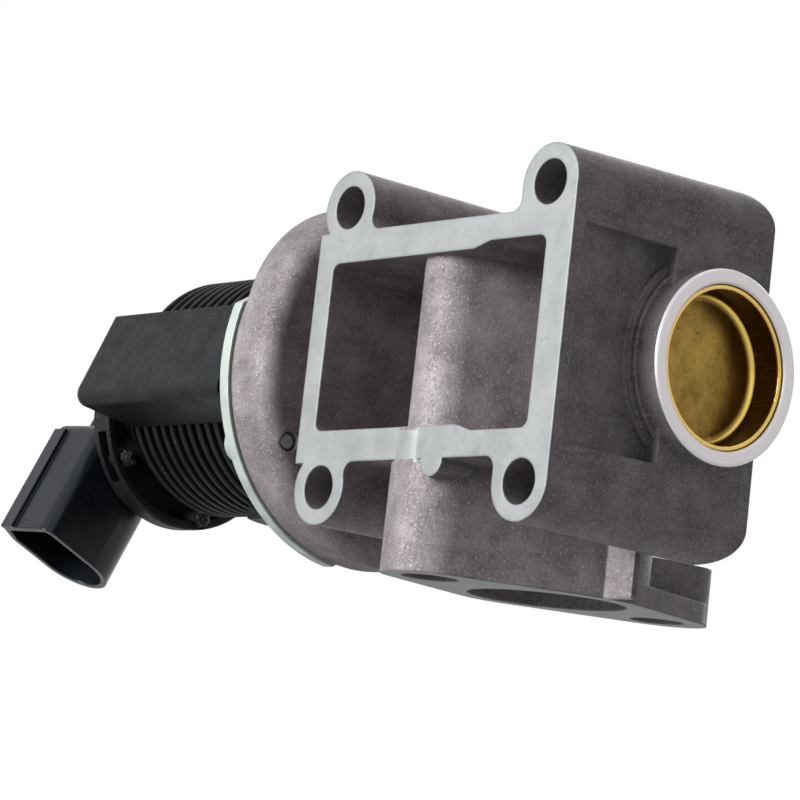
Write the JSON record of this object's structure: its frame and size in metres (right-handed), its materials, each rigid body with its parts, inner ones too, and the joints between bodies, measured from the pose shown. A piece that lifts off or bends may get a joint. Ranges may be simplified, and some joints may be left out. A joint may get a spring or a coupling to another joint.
{
  "type": "egr valve",
  "caption": "Solenoid exhaust gas recirculation valve: cast housing with manifold window, two-bolt gas flange, poppet on a sliding stem, ribbed actuator and angled connector.",
  "frame": {"origin": "centre of the four manifold bolt holes, on the machined face of the housing", "axes": "-Y out of the manifold face, +X along the valve axis away from the solenoid, +Z away from the gas flange"},
  "size_m": [0.1914, 0.0848, 0.0863],
  "materials": {
    "cast_aluminium": "sand-cast skin, satin, machined joint faces",
    "zinc_plate": "pale zinc plating",
    "machined_steel": "turned and ground",
    "dark_steel": "heat-darkened",
    "plug_brass": "pressed, satin",
    "black_moulding": "fine grained black",
    "black_gloss": "smooth glossy black",
    "coil_wire": "enamelled winding",
    "bobbin_plastic": "dark moulded",
    "gasket_sheet": "fibre sheet",
    "sensor_board": "coated board",
    "pin_metal": "tinned"
  },
  "bodies": {
    "valve_body": {"valve_housing": "cast_aluminium", "core_plug": "plug_brass", "valve_seat": "machined_steel", "guide_bush": "dark_steel", "stem_scraper": "dark_steel", "return_spring": "machined_steel", "flange_gasket": "gasket_sheet", "mounting_plate": "zinc_plate", "plate_screws": "zinc_plate", "solenoid_casing": "black_moulding", "yoke_tube": "dark_steel", "pole_piece": "machined_steel", "armature_sleeve": "plug_brass", "coil_bobbin": "bobbin_plastic", "coil_winding": "coil_wire", "flux_washer": "dark_steel", "end_cap": "black_moulding", "cap_stakes": "black_moulding", "sensor_guide": "bobbin_plastic", "sensor_track": "sensor_board", "sensor_spring": "machined_steel", "connector_shell": "black_gloss", "connector_pins": "pin_metal", "terminal_box": "black_moulding"},
    "valve_slide": {"valve_stem": "machined_steel", "poppet_disc": "dark_steel", "spring_retainer": "machined_steel", "retainer_clip": "dark_steel", "armature": "machined_steel", "sensor_plunger": "bobbin_plastic"}
  },
  "joints": [
    {"name": "valve_lift", "type": "slide", "parent": "valve_body", "child": "valve_slide", "axis": [1, 0, 0], "range_m": [0, 0.006], "stiffness_N_per_m": 2500, "springref_m": -0.008, "deforming": ["return_spring", "sensor_spring"]}
  ]
}
